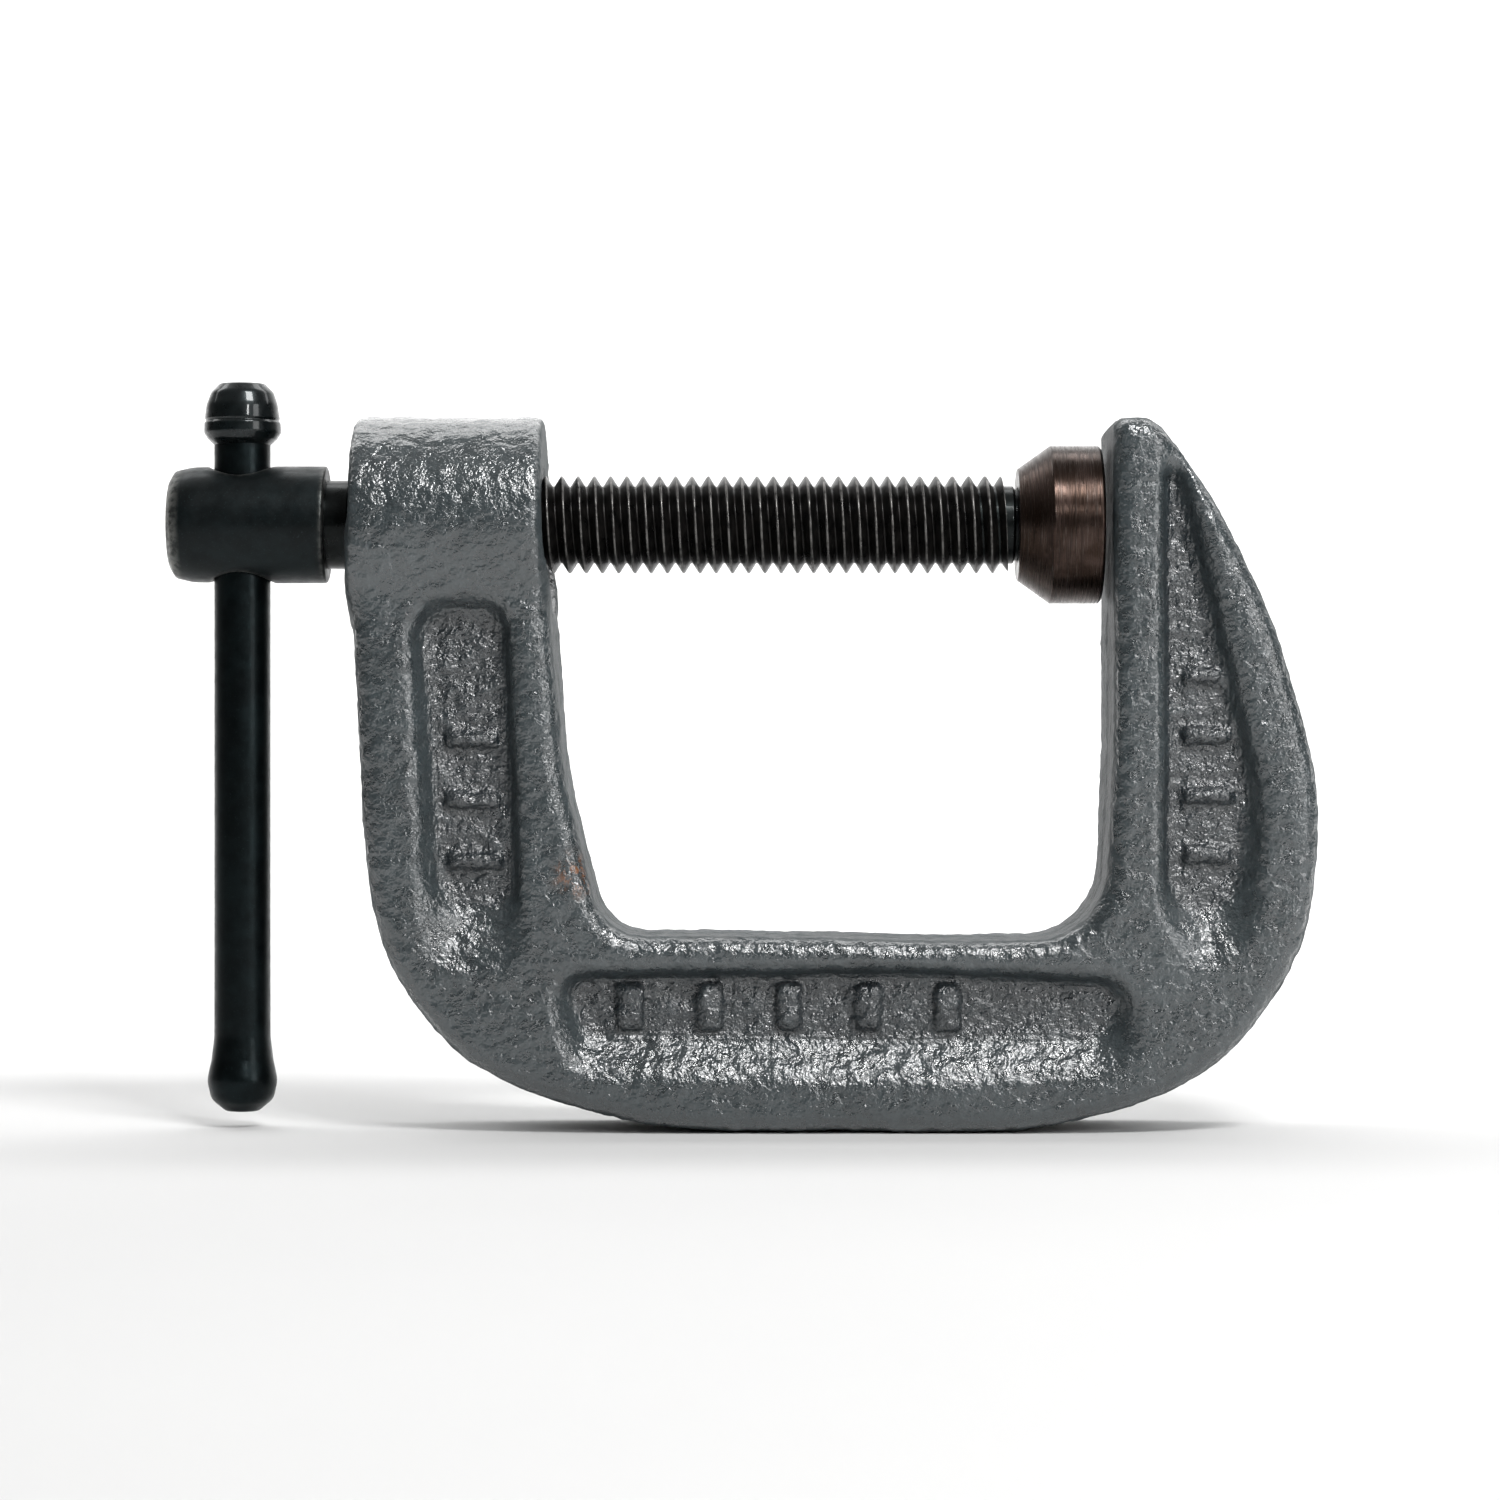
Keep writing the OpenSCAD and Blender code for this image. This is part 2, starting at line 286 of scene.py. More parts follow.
class Shader:
    """Short names for the nodes of one material."""

    def __init__(self, name):
        self.material = bpy.data.materials.new(name)
        self.material.use_nodes = True
        self.tree = self.material.node_tree
        self.tree.nodes.clear()
        self.out = self.add("ShaderNodeOutputMaterial")
        self.surface = self.add("ShaderNodeBsdfPrincipled")
        self.link(self.surface.outputs[0], self.out.inputs[0])
        where = self.add("ShaderNodeTexCoord")
        self.scale = self.add("ShaderNodeVectorMath", operation="SCALE")
        self.link(where.outputs["Object"], self.scale.inputs[0])
        self.scale.inputs["Scale"].default_value = 1 / MM
        self.mm = self.scale.outputs[0]

    def add(self, kind, **settings):
        """A new node with its settings."""
        made = self.tree.nodes.new(kind)
        for key, value in settings.items():
            setattr(made, key, value)
        return made

    def link(self, a, b):
        """Join an output to an input."""
        self.tree.links.new(a, b)

    def feed(self, socket, value):
        """Join an output to a socket, or set the socket to a plain value."""
        if isinstance(value, bpy.types.NodeSocket):
            self.link(value, socket)
        else:
            socket.default_value = value

    def noise(self, scale, detail=2.0, rough=0.5, stretch=None):
        """Noise in millimetres, squeezed along each axis if asked."""
        at = self.mm
        if stretch:
            squeeze = self.add("ShaderNodeVectorMath", operation="MULTIPLY")
            self.link(at, squeeze.inputs[0])
            squeeze.inputs[1].default_value = stretch
            at = squeeze.outputs[0]
        made = self.add("ShaderNodeTexNoise")
        self.link(at, made.inputs["Vector"])
        made.inputs["Scale"].default_value = scale
        made.inputs["Detail"].default_value = detail
        made.inputs["Roughness"].default_value = rough
        return made.outputs["Fac"]

    def cells(self, scale):
        """Distance to the nearest of many scattered points."""
        made = self.add("ShaderNodeTexVoronoi", feature="F1")
        self.link(self.mm, made.inputs["Vector"])
        made.inputs["Scale"].default_value = scale
        return made.outputs["Distance"]

    def attribute(self, name):
        """A value stored at the points of the mesh."""
        made = self.add("ShaderNodeAttribute", attribute_name=name)
        return made.outputs["Fac"]

    def spread(self, value, low, high, to_low=0.0, to_high=1.0):
        """A value mapped softly from one range to another."""
        made = self.add("ShaderNodeMapRange")
        made.interpolation_type = "SMOOTHSTEP"
        self.feed(made.inputs["Value"], value)
        for key, number in (("From Min", low), ("From Max", high), ("To Min", to_low), ("To Max", to_high)):
            made.inputs[key].default_value = number
        return made.outputs["Result"]

    def maths(self, operation, a, b=0.0):
        """One arithmetic step."""
        made = self.add("ShaderNodeMath", operation=operation)
        self.feed(made.inputs[0], a)
        self.feed(made.inputs[1], b)
        return made.outputs[0]

    def mix(self, share, a, b):
        """Colour b over colour a by a share."""
        made = self.add("ShaderNodeMix", data_type="RGBA")
        self.feed(made.inputs["Factor"], share)
        self.feed(made.inputs["A"], a)
        self.feed(made.inputs["B"], b)
        return made.outputs["Result"]

    def near(self, point, radius):
        """One at a point, falling to zero at a radius."""
        made = self.add("ShaderNodeVectorMath", operation="DISTANCE")
        self.link(self.mm, made.inputs[0])
        made.inputs[1].default_value = point
        return self.spread(made.outputs["Value"], 0.0, radius, 1.0, 0.0)

    def bump(self, height, strength, distance, after=None):
        """A bumped normal, on top of another one if given."""
        made = self.add("ShaderNodeBump")
        made.inputs["Strength"].default_value = strength
        made.inputs["Distance"].default_value = distance * MM
        self.link(height, made.inputs["Height"])
        if after is not None:
            self.link(after, made.inputs["Normal"])
        return made.outputs["Normal"]

    def set(self, **sockets):
        """Feed the sockets of the surface, named with underscores for spaces."""
        for key, value in sockets.items():
            self.feed(self.surface.inputs[key.replace("_", " ")], value)


def rgb(color, factor=1.0):
    """A colour times a factor, with full alpha."""
    return (color[0] * factor, color[1] * factor, color[2] * factor, 1.0)


# Middle of the small patch of rust at the inside bend.
RUST_PLACE = (-32.4, -5.6, -21.4)


def hammered_enamel(tone):
    """Glossy grey hammered enamel with painted shade in the pockets and bump dips, painted light on bump
    tops, and duller on the inner walls.
    """
    s = Shader("hammered_enamel")
    hollow = s.attribute("hollow")
    relief = s.attribute("relief")
    broad = s.noise(0.16, 3, 0.6)
    mottle = s.noise(1.1, 4, 0.65)
    grain = s.noise(6.5, 3, 0.7)
    base = s.mix(s.spread(broad, 0.35, 0.68), rgb(tone, 0.86), rgb(tone, 1.2))
    pale = rgb((tone[0] * 1.5, tone[1] * 1.56, tone[2] * 1.56))
    base = s.mix(s.spread(mottle, 0.38, 0.7, 0.0, 0.5), base, pale)
    base = s.mix(s.spread(grain, 0.45, 0.72, 0.0, 0.25), base, rgb(tone, 0.45))
    # Painted shade: the enamel is darkened towards a deep tone in the pockets, where shade falls.
    painted_pocket_shade = rgb((tone[0] * 0.3, tone[1] * 0.36, tone[2] * 0.42))
    base = s.mix(s.maths("MULTIPLY", s.spread(hollow, 0.1, 0.7), 0.85), base, painted_pocket_shade)
    # Painted light and shade: the enamel is lightened on the tops of the cast bumps and darkened in their
    # dips.
    base = s.mix(s.spread(relief, 0.55, 1.0, 0.0, 0.35), base, rgb(tone, 1.9))
    base = s.mix(s.spread(relief, 0.15, 0.48, 0.2, 0.0), base, rgb(tone, 0.5))
    rust = s.maths("MULTIPLY", s.near(RUST_PLACE, 1.9), s.spread(s.noise(1.9, 4, 0.7), 0.46, 0.62))
    base = s.mix(rust, base, (0.22, 0.085, 0.03, 1))
    wall = s.attribute("wall")
    rough = s.maths("ADD", s.spread(mottle, 0.3, 0.75, 0.24, 0.36), s.maths("MULTIPLY", wall, 0.3))
    pits = s.spread(s.cells(1.15), 0.0, 0.16, 0.0, 1.0)
    swell = s.maths("MULTIPLY", s.noise(1.6, 3, 0.6), s.spread(hollow, 0.1, 0.8, 0.9, 1.9))
    first = s.bump(swell, 1.0, 0.2)
    second = s.bump(s.noise(4.2, 3, 0.6), 0.7, 0.055, first)
    third = s.bump(pits, 0.3, 0.03, second)
    s.set(Base_Color=base, Roughness=rough, Normal=third, Metallic=0.0)
    coat = s.spread(wall, 0.0, 1.0, 1.0, 0.1)
    s.set(Specular_IOR_Level=0.3, Coat_Weight=coat, Coat_Roughness=0.07, Coat_IOR=1.85)
    s.link(second, s.surface.inputs["Coat Normal"])
    return s.material


def black_oxide(name, tone, rough_low, rough_high, oil=0.0, grit=0.5, metal=0.55):
    """Oiled black oxide on steel, worn pale where the worn value is high."""
    s = Shader(name)
    cloud = s.noise(0.55, 4, 0.6)
    speck = s.noise(9.0, 2, 0.6)
    dust = s.cells(3.2)
    base = s.mix(s.spread(cloud, 0.35, 0.7), rgb(tone, 0.7), rgb(tone, 1.35))
    specks = rgb((tone[0] * 3.4, tone[1] * 3.5, tone[2] * 3.3))
    base = s.mix(s.spread(speck, 0.6, 0.78, 0.0, grit), base, specks)
    base = s.mix(s.spread(dust, 0.0, 0.07, 0.35 * grit, 0.0), base, (0.2, 0.2, 0.18, 1))
    worn = s.maths("MULTIPLY", s.attribute("worn"), s.spread(s.noise(2.2, 3, 0.6), 0.35, 0.6, 0.25, 0.9))
    base = s.mix(worn, base, (0.3, 0.3, 0.28, 1))
    rough = s.spread(s.noise(1.3, 3, 0.6), 0.3, 0.7, rough_low, rough_high)
    first = s.bump(s.noise(2.4, 4, 0.65), 0.3, 0.03)
    second = s.bump(s.noise(12.0, 2, 0.5), 0.3, 0.008, first)
    s.set(Base_Color=base, Roughness=rough, Normal=second, Metallic=metal)
    s.set(Specular_IOR_Level=0.5, Coat_Weight=oil, Coat_Roughness=0.08)
    return s.material


def thread_steel():
    """Dark thread with crests rubbed bright."""
    s = Shader("thread_steel")
    crest = s.attribute("crest")
    wear = s.noise(1.4, 4, 0.6)
    base = s.mix(s.spread(wear, 0.3, 0.7), (0.008, 0.008, 0.008, 1), (0.022, 0.02, 0.019, 1))
    patches = s.spread(s.noise(2.6, 3, 0.6), 0.32, 0.6, 0.2, 1.0)
    bright = s.maths("MULTIPLY", s.spread(crest, 0.9, 1.0), patches)
    base = s.mix(bright, base, (0.14, 0.135, 0.13, 1))
    rough = s.spread(wear, 0.3, 0.7, 0.26, 0.42)
    s.set(Base_Color=base, Roughness=rough, Metallic=0.8, Normal=s.bump(s.noise(7.0, 3, 0.6), 0.4, 0.012))
    return s.material


def turned_steel():
    """Brown dark steel with fine rings from the lathe."""
    s = Shader("turned_dark_steel")
    rings = s.noise(1.0, 3, 0.75, stretch=(9.0, 0.25, 0.25))
    fine = s.noise(1.0, 2, 0.6, stretch=(26.0, 0.5, 0.5))
    blotch = s.noise(0.7, 4, 0.6)
    base = s.mix(s.spread(blotch, 0.35, 0.7), (0.03, 0.018, 0.013, 1), (0.062, 0.041, 0.034, 1))
    base = s.mix(s.spread(rings, 0.45, 0.68, 0.0, 0.55), base, (0.014, 0.011, 0.01, 1))
    base = s.mix(s.spread(fine, 0.6, 0.75, 0.0, 0.4), base, (0.26, 0.23, 0.21, 1))
    rough = s.spread(rings, 0.35, 0.65, 0.2, 0.34)
    first = s.bump(rings, 0.5, 0.03)
    second = s.bump(fine, 0.5, 0.012, first)
    s.set(Base_Color=base, Roughness=rough, Metallic=0.9, Normal=second)
    return s.material


def spring_wire():
    """Bright drawn wire."""
    s = Shader("spring_wire")
    tone = s.noise(3.0, 3, 0.6)
    s.set(Base_Color=s.mix(s.spread(tone, 0.35, 0.65), (0.25, 0.25, 0.25, 1), (0.42, 0.42, 0.41, 1)))
    rough = s.spread(tone, 0.3, 0.7, 0.22, 0.36)
    s.set(Roughness=rough, Metallic=1.0, Normal=s.bump(s.noise(14.0), 0.3, 0.006))
    return s.material


# ---------------------------------------------------------------- the casting

FRAME_CORNERS = [
    (BOSS_OUT - 0.1, 0.5, 1.4),
    (BOSS_OUT + 0.8, -18.1, 30),
    (BOSS_OUT + 1.6, -25.2, 14),
    (BOSS_OUT + 6.2, -33.2, 14),
    (BOSS_OUT + 18.2, -36.8, 30),
    (-4, -37, 30),
    (6.6, -33.6, 14),
    (11.8, -25.6, 14),
    (12.7, -16.2, 24),
    (8.3, -1.6, 40),
    (2.5, 6.3, 2.2),
    (0, 6.3, 0.8),
    (0, -14, 60),
    (-0.6, -25.35, 4.5),
    (-10, -25.35, 60),
    (BOSS_IN + 10.6, -25.1, 60),
    (BOSS_IN + 3.8, -25.1, 3.2),
    (BOSS_IN + 1.4, -15.5, 22),
    (BOSS_IN + 0.05, 0.5, 1.4),
]

# Each pocket: its outline at the flank, its outline at the floor, and its plain marks
# as [x, z, half width, half height].
LEG_POCKET = (
    [(-42.7, -4.6, 2.4), (-41.7, -27.2, 2.2), (-35.4, -26.6, 2.4), (-36.4, -4.6, 2.0)],
    [(-41.8, -5.5, 1.6), (-40.4, -23.0, 1.8), (-36.3, -23.2, 1.2), (-37.0, -5.5, 1.4)],
    [(-38.9, -13.2, 1.5, 0.45), (-38.8, -16.9, 1.6, 0.45), (-38.6, -20.6, 1.6, 0.45)],
)
SPINE_POCKET = (
    [(-34.3, -27.1, 2.0), (-33.0, -33.4, 2.4), (-12, -33.9, 60),
     (0.8, -33.2, 2.4), (2.0, -27.5, 2.4), (-12, -26.9, 60)],
    [(-33.0, -27.7, 1.2), (-31.8, -31.0, 1.2), (-12, -31.4, 60),
     (-0.4, -30.9, 1.2), (0.8, -28.2, 1.4), (-12, -27.5, 60)],
    [(-29.2, -29.4, 0.75, 1.35), (-24.4, -29.4, 0.75, 1.35), (-19.6, -29.4, 0.75, 1.35),
     (-14.8, -29.4, 0.75, 1.35), (-10.0, -29.4, 0.75, 1.35)],
)
JAW_POCKET = (
    [(2.9, 4.9, 0.4), (2.8, -23.6, 1.4), (5.2, -27.6, 1.8), (8.6, -25.0, 3.0),
     (9.3, -16.8, 16), (6.0, -2.6, 26), (4.3, 4.3, 0.4)],
    [(3.3, 3.0, 0.3), (3.3, -21.9, 0.8), (5.0, -23.6, 1.2), (7.4, -22.6, 1.6),
     (8.2, -16.6, 14), (5.1, -3.2, 20), (3.9, 2.6, 0.3)],
    [(5.4, -9.4, 1.1, 0.45), (5.7, -13.0, 1.4, 0.45), (5.8, -16.6, 1.5, 0.45), (5.7, -20.2, 1.4, 0.45)],
)
POCKETS = (LEG_POCKET, SPINE_POCKET, JAW_POCKET)
# The casting's half thickness, the rounding of its outer edges and the depth of its pockets.
HALF = 5.6
RIM = 1.2
POCKET_DEPTH = 1.7
# The boss: its rounding, its blend into the leg and the flat round its bore.
BOSS_EDGE = 0.5
BOSS_BLEND = 1.2
SPOT_RADIUS = 5.5
# The bore: its gap to the thread, its chamfers and how far past the boss it is cut.
BORE_GAP = 0.07
BORE_CHAMFER = 0.55
BORE_REACH = 3
# The raised marks: corner radius as a share of the half size, and the width of their slopes.
MARK_CORNER = 0.3
MARK_SLOPE = 0.36


def casting_field(step, mark_height):
    """The casting's distance field, the axes of its grid, and each column's share of pocket."""
    low = np.minimum(FRAME_LOW, [BOSS_OUT - 0.3, -BOSS_RADIUS, -37.2])
    high = np.maximum(FRAME_HIGH, [12.5, BOSS_RADIUS, BOSS_RADIUS])
    axes, (x, y, z) = grid(low, high, step)
    flat_x, flat_z = np.meshgrid(axes[0], axes[2], indexing="ij")
    side = polygon_distance(rounded(FRAME_CORNERS, 10), flat_x, flat_z)[:, None, :]
    a, b = side + RIM, np.abs(y) - HALF + RIM
    body = edge_distance(a, b, RIM)
    axial = np.sqrt(y * y + z * z)
    a = axial - BOSS_RADIUS + BOSS_EDGE
    b = np.abs(x - (BOSS_OUT + BOSS_IN) / 2) - (BOSS_IN - BOSS_OUT) / 2 + BOSS_EDGE
    body = soft_min(body, edge_distance(a, b, BOSS_EDGE), BOSS_BLEND)
    spot_face = np.maximum(np.maximum(axial - SPOT_RADIUS, BOSS_IN - x), x - BOSS_IN - BORE_REACH)
    body = soft_max(body, -spot_face, 0.2)
    hollow = np.zeros(flat_x.shape)
    for top, floor, marks in POCKETS:
        top_d = polygon_distance(rounded(top, 8), flat_x, flat_z)[:, None, :]
        floor_d = polygon_distance(rounded(floor, 8), flat_x, flat_z)[:, None, :]
        raised = np.zeros(flat_x.shape)
        for mx, mz, hw, hh in marks:
            r = MARK_CORNER * min(hw, hh)
            qx, qz = np.abs(flat_x - mx) - hw + r, np.abs(flat_z - mz) - hh + r
            raised = np.maximum(raised, smooth(0.5 - edge_distance(qx, qz, r) / MARK_SLOPE))
        depth = POCKET_DEPTH - mark_height * raised[:, None, :]
        share = np.clip((np.abs(y) - (HALF - POCKET_DEPTH)) / POCKET_DEPTH, 0, 1.3)
        wall = floor_d + (top_d - floor_d) * share
        cut = soft_max(wall, HALF - depth - np.abs(y), 0.55)
        body = soft_max(body, -cut, 0.6)
        hollow = np.maximum(hollow, smooth(0.5 - floor_d[:, 0, :] / 1.6))
    hole = axial - SCREW_RADIUS - BORE_GAP
    mouths = np.maximum(0, BORE_CHAMFER - np.minimum(np.abs(x - BOSS_OUT), np.abs(x - BOSS_IN)))
    hole = np.maximum(hole - mouths, x - BOSS_IN - BORE_REACH)
    body = soft_max(body, -hole, 0.15)
    return body, axes, hollow


def bumps(points, normals, hollow):
    """Height of the cast and hammered surface at each point, in millimetres."""
    out = np.empty(len(points))
    for i, p in enumerate(points):
        v = Vector(p)
        pebble = noise.noise(v * 1.15) + 0.6 * noise.noise(v * 2.3 + Vector((9, 4, 2)))
        wave = noise.noise(v * 0.22 + Vector((3, 7, 1)))
        out[i] = 0.085 * pebble * (0.8 + 0.9 * hollow[i]) + 0.1 * wave
    parting = np.exp(-((points[:, 1] / 0.32) ** 2)) * (np.abs(normals[:, 1]) < 0.5)
    return out + 0.07 * parting


class ClampSettings(bpy.types.PropertyGroup):
    """Sizes and colours of the clamp's looks."""

    casting_step: bpy.props.FloatProperty(
        name="Casting detail", description="Spacing of the casting's mesh",
        default=0.26 * MM, min=0.15 * MM, unit="LENGTH"
    )
    mark_height: bpy.props.FloatProperty(
        name="Mark height", description="Height of the plain raised marks", default=0.6 * MM, unit="LENGTH"
    )
    enamel: bpy.props.FloatVectorProperty(
        name="Enamel", description="Colour of the casting's enamel",
        default=(0.030, 0.039, 0.0425), size=3, subtype="COLOR"
    )
    oxide: bpy.props.FloatVectorProperty(
        name="Black oxide", description="Colour of the head and the bar",
        default=(0.005, 0.009, 0.010), size=3, subtype="COLOR"
    )
    pitch: bpy.props.FloatProperty(
        name="Pitch", description="Travel of the screw for each turn", default=1.0 * MM, unit="LENGTH"
    )
    key_light: bpy.props.FloatProperty(
        name="Key light", description="Brightness of the key light's face", default=30.0, min=0.0
    )


class CLAMP_OT_casting(bpy.types.Operator):
    """Make the cast frame with its pockets, boss and hammered enamel"""

    bl_idname = "clamp.casting"
    bl_label = "Casting"

    def execute(self, context):
        settings = context.scene.clamp
        field, axes, hollow_map = casting_field(settings.casting_step / MM, settings.mark_height / MM)
        points, quads, normals = skin(field, axes)
        step = axes[0][1] - axes[0][0]
        col = np.clip(np.round((points[:, 0] - axes[0][0]) / step).astype(int), 0, hollow_map.shape[0] - 1)
        row = np.clip(np.round((points[:, 2] - axes[2][0]) / step).astype(int), 0, hollow_map.shape[1] - 1)
        hollow = hollow_map[col, row] * (np.abs(points[:, 1]) > HALF - POCKET_DEPTH - 0.6)
        height = bumps(points, normals, hollow)
        axial = np.hypot(points[:, 1], points[:, 2])
        in_bore = (points[:, 0] < BOSS_IN + 1) & (axial < 4.6)
        calm = np.where(in_bore, smooth((axial - 3.7) / 0.9), 1.0)
        on_end = (points[:, 0] < BOSS_IN + 1) & (axial < 6.0) & (np.abs(normals[:, 0]) > 0.7)
        calm = np.where(on_end, 0.15, calm)
        jaw = (np.abs(points[:, 0]) < 0.35) & (np.abs(points[:, 2]) < 5.4) & (np.abs(points[:, 1]) < 5)
        calm = np.where(jaw, 0.25, calm)
        height = height * calm
        points = points + normals * height[:, None]
        points[:, 0] = np.where(jaw, np.maximum(points[:, 0], -0.03), points[:, 0])
        relief = np.clip(0.5 + height / 0.3, 0, 1)
        in_boss = (points[:, 0] < BOSS_IN + 0.6) & (axial < 7.2)
        side = smooth((0.75 - np.abs(normals[:, 1])) / 0.5) * (np.abs(points[:, 1]) < HALF - 0.6)
        wall = np.where(in_boss, smooth((np.abs(normals[:, 0]) - 0.5) / 0.4), side)
        piece = make_object("casting", points, quads, {"hollow": hollow, "relief": relief, "wall": wall})
        piece.data.materials.append(hammered_enamel(settings.enamel))
        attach(piece, "frame")
        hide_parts("frame")
        return {"FINISHED"}


def helix_rod(start, end, pitch, crest, root, around=64, rise=0.4):
    """A right-hand threaded rod along X as (points, faces, crest share)."""
    prof = [
        (-0.04, 1.0), (0.04, 1.0), (0.10, 0.88), (0.40, 0.12),
        (0.46, 0.01), (0.54, 0.01), (0.60, 0.12), (0.90, 0.88),
    ]
    per = len(prof)
    turns = int(math.floor((end - start) / pitch)) - 1
    start = end - (turns + 1) * pitch
    rows = turns * per
    i = np.arange(rows + per + 1)
    j = np.arange(around)
    shift = np.array([p[0] for p in prof])[i % per] + i // per
    level = np.array([p[1] for p in prof])[i % per]
    x = start + pitch * (shift[:, None] + j[None, :] / around)
    run = np.clip(np.minimum(x - start - pitch, end - x) / rise, 0, 1)
    share = level[:, None] * run
    radius = root + (crest - root) * share
    t = 2 * math.pi * j / around
    points = np.stack([x, radius * np.cos(t), radius * np.sin(t)], 2).reshape(-1, 3)
    faces = []

    def at(row, col):
        return row * around + col if col < around else (row + per) * around

    for a in range(rows):
        for b in range(around):
            faces.append((at(a, b), at(a, b + 1), at(a + 1, b + 1), at(a + 1, b)))
    first, last = len(points), len(points) + 1
    points = np.concatenate([points, [[start + 0.5 * pitch, 0, 0], [start + pitch * (turns + 0.5), 0, 0]]])
    for b in range(around):
        faces.append((first, at(0, b + 1), at(0, b)))
        faces.append((last, at(rows, b), at(rows, b + 1)))
    for a in range(per):
        faces.append((first, at(a, 0), at(a + 1, 0)))
        faces.append((last, at(rows + a + 1, 0), at(rows + a, 0)))
    share = np.concatenate([share.reshape(-1), [0, 0]])
    used = np.zeros(len(points), bool)
    used[[v for f in faces for v in f]] = True
    number = np.cumsum(used) - 1
    return points[used], [tuple(number[v] for v in f) for f in faces], share[used]


class CLAMP_OT_screw(bpy.types.Operator):
    """Make the threaded screw with its neck and grooved spigot"""

    bl_idname = "clamp.screw"
    bl_label = "Screw"

    def execute(self, context):
        pitch = context.scene.clamp.pitch / MM
        root, collar = 2.36, PAD_LOW[0] - 0.25
        points, faces, share = helix_rod(BOSS_OUT - 1.4, collar, pitch, SCREW_RADIUS - 0.01, root)
        thread = make_object("screw_thread", points, faces, {"crest": share})
        thread.data.materials.append(thread_steel())
        ring_x = (RING_LOW[0] + RING_HIGH[0]) / 2
        tip = SCREW_HIGH[0]
        tail = turned_object("screw_spigot", held_profile([
            (collar - 2.6, 0, 0), (collar - 2.6, 1.9, 0), (collar - 2.2, 2.385, 0.1), (collar, 2.385, 0.12),
            (collar + 0.05, 2.2, 0.03), (ring_x - 0.45, 2.2, 0.05), (ring_x - 0.45, 1.79, 0.05),
            (ring_x + 0.45, 1.79, 0.05), (ring_x + 0.45, 2.2, 0.05), (tip - 1.35, 2.19, 0.2),
            (tip - 0.55, 1.5, 0.5), (tip, 0.35, 0.2), (tip, 0, 0)]), 0)
        neck = turned_object("screw_neck", held_profile([
            (SCREW_LOW[0] + 8.6, 0, 0), (SCREW_LOW[0] + 8.6, 2.3, 0), (SCREW_LOW[0] + 9.3, 2.72, 0.1),
            (BOSS_OUT - 0.35, 2.72, 0.15), (BOSS_OUT + 0.1, 2.3, 0.05), (BOSS_OUT + 0.4, 0, 0)]), 0)
        finish = black_oxide("oxide_thread_ends", (0.006, 0.008, 0.008), 0.25, 0.4, 0.1, 0.5, 0.85)
        for piece in (tail, neck):
            piece.data.materials.append(finish)
        for piece in (thread, tail, neck):
            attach(piece, "screw")
            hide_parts("screw")
        return {"FINISHED"}


class CLAMP_OT_head(bpy.types.Operator):
    """Make the cross-drilled head of the screw"""

    bl_idname = "clamp.head"
    bl_label = "Screw head"

    def execute(self, context):
        out, radius = SCREW_LOW[0], SCREW_HIGH[1]
        inner = BOSS_OUT - 1.75
        step = 0.11
        axes, (x, y, z) = grid([out, -radius, -radius], [inner, radius, radius], step)
        axial = np.sqrt(y * y + z * z) + 0 * x
        outline = rounded([
            (out, -1, 0), (inner, -1, 0), (inner, radius, 0.14), (out + 4.5, radius, 6),
            (out + 1.4, radius - 0.06, 3), (out + 0.35, radius - 0.3, 0.3), (out, radius - 0.9, 0.3)], 5)
        radii = np.arange(0, axial.max() + step, step / 2)
        gx, gr = np.meshgrid(axes[0], radii, indexing="ij")
        table = polygon_distance(outline, gx, gr)
        place = axial / (step / 2)
        base = np.clip(place.astype(int), 0, len(radii) - 2)
        rows = np.arange(len(axes[0]))[:, None, None]
        body = table[rows, base] * (1 - place + base) + table[rows, base + 1] * (place - base)
        hole = np.sqrt((x - BAR_X) ** 2 + y * y) - BAR_RADIUS - 0.09 + 0 * z
        body = soft_max(body, -hole, 0.3)
        points, quads, _ = skin(body, axes)
        at_rim = np.hypot(points[:, 1], points[:, 2]) > radius - 1.1
        end = np.clip(1 - (points[:, 0] - out) / 0.9, 0, 1) * at_rim
        lip = np.exp(-(((np.hypot(points[:, 0] - BAR_X, points[:, 1]) - BAR_RADIUS - 0.2) / 0.2) ** 2)) * 0.4
        back = np.exp(-(((points[:, 0] - inner + 0.1) / 0.15) ** 2)) * 0.3
        piece = make_object("screw_head", points, quads, {"worn": np.clip(end + lip + back, 0, 1)})
        finish = black_oxide("oxide_head", context.scene.clamp.oxide, 0.34, 0.48, 0.05, 0.8, 0.7)
        piece.data.materials.append(finish)
        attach(piece, "screw")
        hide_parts("screw")
        return {"FINISHED"}


